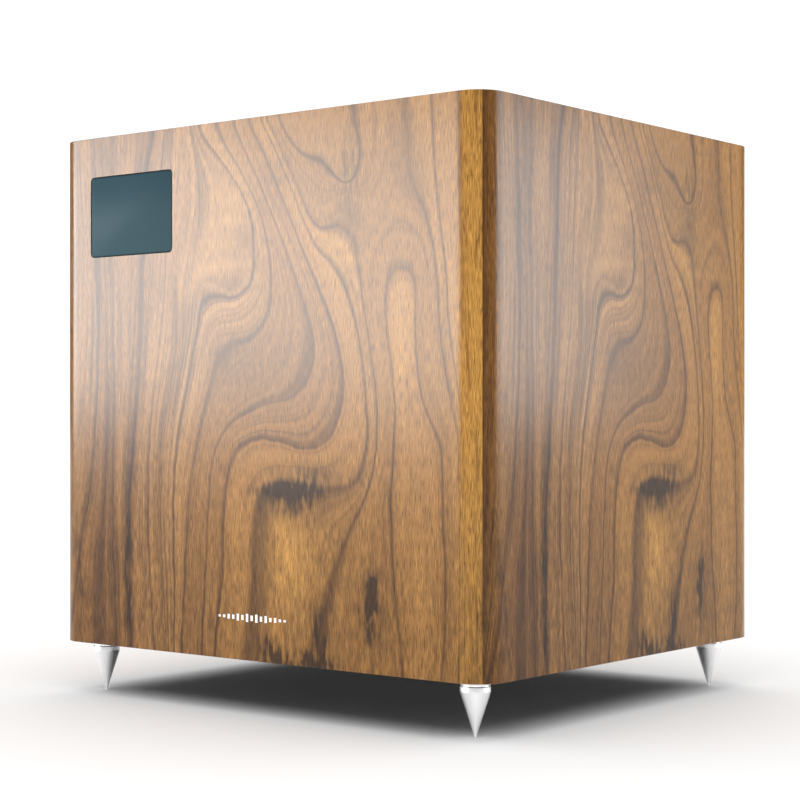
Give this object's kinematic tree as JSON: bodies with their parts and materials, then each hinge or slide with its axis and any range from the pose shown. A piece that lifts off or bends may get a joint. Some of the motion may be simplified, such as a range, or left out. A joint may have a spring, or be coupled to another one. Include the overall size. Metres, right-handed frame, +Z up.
{
  "type": "subwoofer",
  "caption": "Near-cubic walnut-veneered active subwoofer on four adjustable spikes, with a downward-firing driver, a display window and a sunken rear amplifier.",
  "frame": {"origin": "on the floor under the centre of the cabinet, at the height of the spikes' tips", "axes": "+Z up, the front with its display window faces -Y, +X is towards the right as seen from the front"},
  "size_m": [0.32, 0.2902, 0.3355],
  "materials": {
    "walnut_veneer": "satin lacquer",
    "fibreboard": "raw fibreboard",
    "black_paint": "black textured paint",
    "display_glass": "smoked gloss",
    "display_panel": "gloss",
    "board_green": "solder mask",
    "pale_print": "screen print",
    "polished_chrome": "polished",
    "zinc_steel": "zinc plated",
    "brass": "machined",
    "black_metal": "satin black powder coat",
    "black_screw": "blackened",
    "foam": "closed-cell foam",
    "cone_paper": "coated pulp",
    "surround_rubber": "matt",
    "spider_cloth": "impregnated cotton",
    "aluminium": "mill finish",
    "copper_wire": "enamelled",
    "motor_steel": "black passivated",
    "ferrite": "sintered",
    "black_plastic": "moulded",
    "gloss_black_plastic": "moulded gloss",
    "socket_colours": "moulded, one colour each",
    "plated_contact": "nickel plated",
    "capacitor_sleeve": "shrunk sleeve",
    "transformer_tape": "taped winding",
    "lead_rubber": "silicone sleeve",
    "grey_cable": "PVC jacket",
    "wadding": "polyester felt"
  },
  "bodies": {
    "cabinet": {"front_panel": "fibreboard", "rear_panel": "fibreboard", "left_panel": "fibreboard", "right_panel": "fibreboard", "top_panel": "fibreboard", "bottom_panel": "black_paint", "window_brace": "fibreboard", "damping_wadding": "wadding", "veneer_wrap": "walnut_veneer", "veneer_top": "walnut_veneer", "threaded_inserts": "brass", "display_window": "display_glass", "display_screen": "display_panel", "display_board": "board_green", "display_screws": "zinc_steel", "front_mark": "pale_print", "driver_basket": "black_metal", "driver_gasket": "foam", "driver_screws": "black_screw", "top_plate": "motor_steel", "magnet": "ferrite", "yoke": "motor_steel", "driver_terminals": "brass", "amp_plate": "black_metal", "amp_gasket": "foam", "amp_screws": "black_screw", "amp_board": "board_green", "board_pillars": "brass", "power_transformer": "transformer_tape", "capacitors": "capacitor_sleeve", "heat_sink": "aluminium", "mains_inlet": "black_plastic", "inlet_blades": "plated_contact", "rocker_case": "black_plastic", "socket_shells": "plated_contact", "socket_insulators": "socket_colours", "trigger_jack": "black_plastic", "switch_case": "black_plastic", "speaker_leads": "lead_rubber", "display_cable": "grey_cable"},
    "woofer": {"cone": "cone_paper", "dust_cap": "cone_paper", "coil_former": "aluminium", "voice_coil": "copper_wire", "surround": "surround_rubber", "spider": "spider_cloth"},
    "mains_rocker": {"mains_rocker": "gloss_black_plastic"},
    "fuse_drawer": {"fuse_drawer": "black_plastic"},
    "switch_slider": {"switch_slider": "gloss_black_plastic"},
    "button_down": {"button_down": "black_plastic"},
    "button_up": {"button_up": "black_plastic"},
    "button_enter": {"button_enter": "black_plastic"},
    "stud_front_left": {"stud_front_left": "zinc_steel"},
    "spike_front_left": {"spike_front_left": "polished_chrome"},
    "stud_front_right": {"stud_front_right": "zinc_steel"},
    "spike_front_right": {"spike_front_right": "polished_chrome"},
    "stud_rear_left": {"stud_rear_left": "zinc_steel"},
    "spike_rear_left": {"spike_rear_left": "polished_chrome"},
    "stud_rear_right": {"stud_rear_right": "zinc_steel"},
    "spike_rear_right": {"spike_rear_right": "polished_chrome"}
  },
  "joints": [
    {"name": "woofer_travel", "type": "slide", "parent": "cabinet", "child": "woofer", "axis": [0, 0, -1], "range_m": [-0.008, 0.008], "stiffness_N_per_m": 2400, "deforming": ["surround", "spider"]},
    {"name": "rocker_tilt", "type": "hinge", "parent": "cabinet", "child": "mains_rocker", "pos_m": [-0.016, 0.1345, 0.1588], "axis": [1, 0, 0], "range_deg": [0, 16]},
    {"name": "fuse_drawer_slide", "type": "slide", "parent": "cabinet", "child": "fuse_drawer", "axis": [0, 1, 0], "range_m": [0, 0.018]},
    {"name": "mode_switch_slide", "type": "slide", "parent": "cabinet", "child": "switch_slider", "axis": [1, 0, 0], "range_m": [0, 0.004]},
    {"name": "button_down_press", "type": "slide", "parent": "cabinet", "child": "button_down", "axis": [0, -1, 0], "range_m": [0, 0.0008], "stiffness_N_per_m": 1000},
    {"name": "button_up_press", "type": "slide", "parent": "cabinet", "child": "button_up", "axis": [0, -1, 0], "range_m": [0, 0.0008], "stiffness_N_per_m": 1000},
    {"name": "button_enter_press", "type": "slide", "parent": "cabinet", "child": "button_enter", "axis": [0, -1, 0], "range_m": [0, 0.0008], "stiffness_N_per_m": 1000},
    {"name": "foot_front_left_lift", "type": "slide", "parent": "cabinet", "child": "stud_front_left", "axis": [0, 0, -1], "range_m": [0, 0.00375]},
    {"name": "foot_front_left_turn", "type": "hinge", "parent": "stud_front_left", "child": "spike_front_left", "pos_m": [-0.1395, -0.1245, 0], "axis": [0, 0, -1], "range_deg": [0, 1100]},
    {"name": "foot_front_right_lift", "type": "slide", "parent": "cabinet", "child": "stud_front_right", "axis": [0, 0, -1], "range_m": [0, 0.00375]},
    {"name": "foot_front_right_turn", "type": "hinge", "parent": "stud_front_right", "child": "spike_front_right", "pos_m": [0.1395, -0.1245, 0], "axis": [0, 0, -1], "range_deg": [0, 1100]},
    {"name": "foot_rear_left_lift", "type": "slide", "parent": "cabinet", "child": "stud_rear_left", "axis": [0, 0, -1], "range_m": [0, 0.00375]},
    {"name": "foot_rear_left_turn", "type": "hinge", "parent": "stud_rear_left", "child": "spike_rear_left", "pos_m": [-0.1395, 0.1245, 0], "axis": [0, 0, -1], "range_deg": [0, 1100]},
    {"name": "foot_rear_right_lift", "type": "slide", "parent": "cabinet", "child": "stud_rear_right", "axis": [0, 0, -1], "range_m": [0, 0.00375]},
    {"name": "foot_rear_right_turn", "type": "hinge", "parent": "stud_rear_right", "child": "spike_rear_right", "pos_m": [0.1395, 0.1245, 0], "axis": [0, 0, -1], "range_deg": [0, 1100]}
  ],
  "couplings": [
    {"joint": "foot_front_left_turn", "follows": "foot_front_left_lift", "rad_per_m": 5026.5},
    {"joint": "foot_front_right_turn", "follows": "foot_front_right_lift", "rad_per_m": 5026.5},
    {"joint": "foot_rear_left_turn", "follows": "foot_rear_left_lift", "rad_per_m": 5026.5},
    {"joint": "foot_rear_right_turn", "follows": "foot_rear_right_lift", "rad_per_m": 5026.5}
  ]
}
